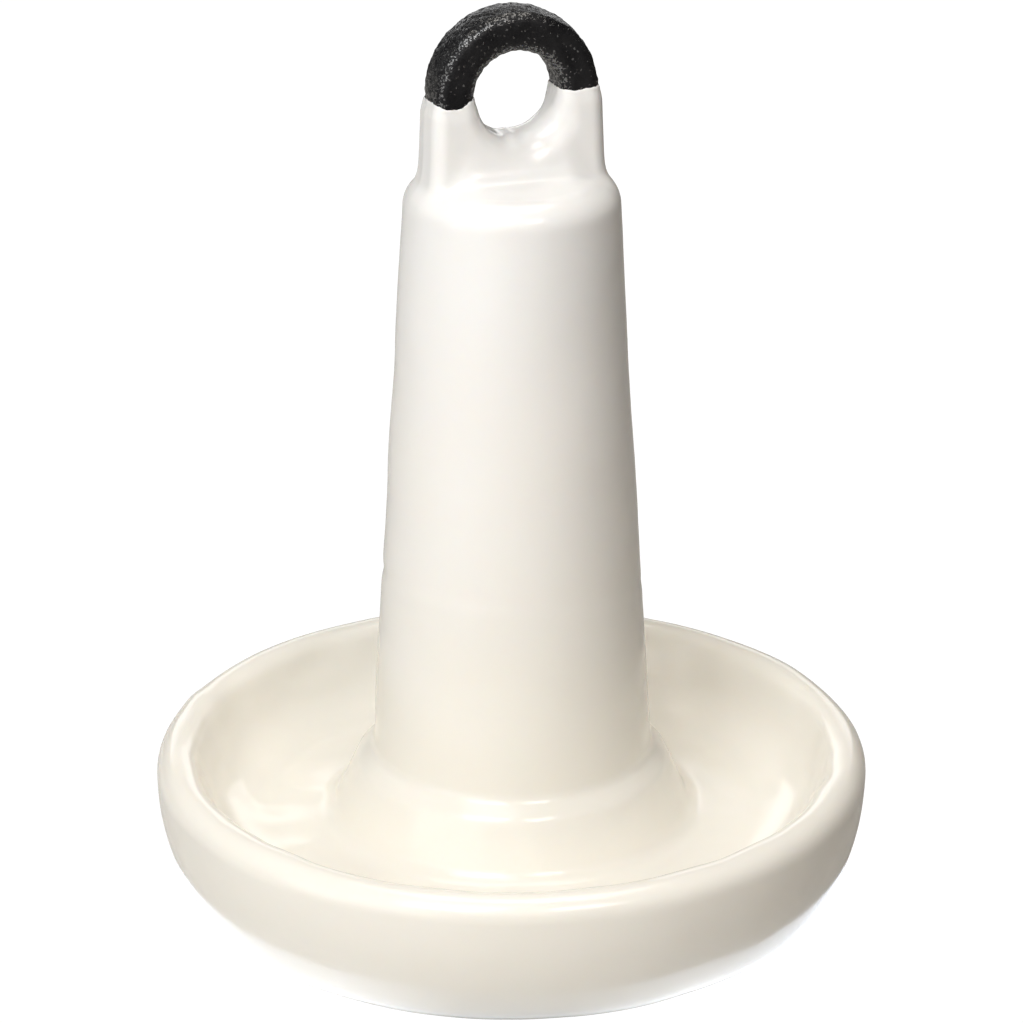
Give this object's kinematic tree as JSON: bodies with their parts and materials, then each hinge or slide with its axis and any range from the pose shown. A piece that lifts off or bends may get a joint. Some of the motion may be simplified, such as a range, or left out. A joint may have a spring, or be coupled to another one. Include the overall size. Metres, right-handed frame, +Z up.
{
  "type": "mushroom anchor",
  "caption": "Small boat's mushroom anchor: a cast-iron bowl, boss and tapered shank dipped in glossy vinyl, with a bare iron eye at the top for the anchor line.",
  "frame": {"origin": "centre of the flat foot under the bowl, on the surface that the anchor stands on", "axes": "+Z up the shank to the eye, +Y along the axis of the eye's hole, +X across the eye"},
  "size_m": [0.152, 0.152, 0.1975],
  "materials": {
    "bare_iron": "rough as-cast black",
    "vinyl": "glossy warm white dipped vinyl"
  },
  "bodies": {
    "root": {"iron_casting": "bare_iron", "vinyl_coat": "vinyl"}
  },
  "joints": []
}
